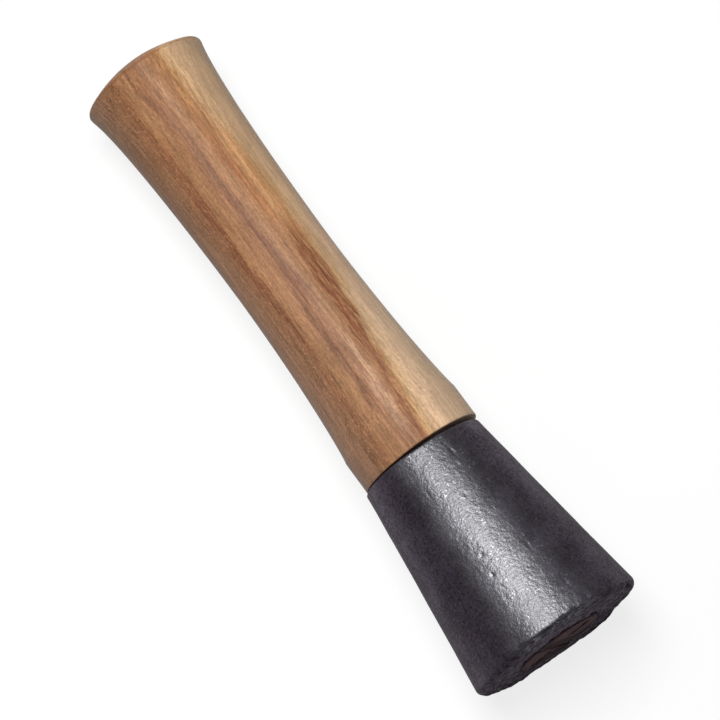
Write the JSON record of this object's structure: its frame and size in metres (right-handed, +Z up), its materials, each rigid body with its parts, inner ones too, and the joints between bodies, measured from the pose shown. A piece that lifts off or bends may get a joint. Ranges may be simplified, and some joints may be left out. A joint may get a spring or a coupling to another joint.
{
  "type": "dummy mallet",
  "caption": "Hand mallet with a heavy tapered cast-iron head wedged on the end of a short turned wooden handle.",
  "frame": {"origin": "on the surface that the mallet lies on, below the middle of its bounding box", "axes": "+X along the mallet towards its head, +Z up, as it lies on its side on its two widest circles"},
  "size_m": [0.2378, 0.0618, 0.0618],
  "materials": {
    "cast_iron": "semi-gloss black paint over sand-cast iron, fine pebbled skin",
    "hardwood": "oiled, worn satin, streaked red-brown and tan grain",
    "wedge_wood": "dark oiled end grain",
    "wedge_steel": "dull, hammered and lightly rusted"
  },
  "bodies": {
    "root": {"head": "cast_iron", "handle": "hardwood", "wood_wedge": "wedge_wood", "steel_wedge_1": "wedge_steel", "steel_wedge_2": "wedge_steel"}
  },
  "joints": []
}
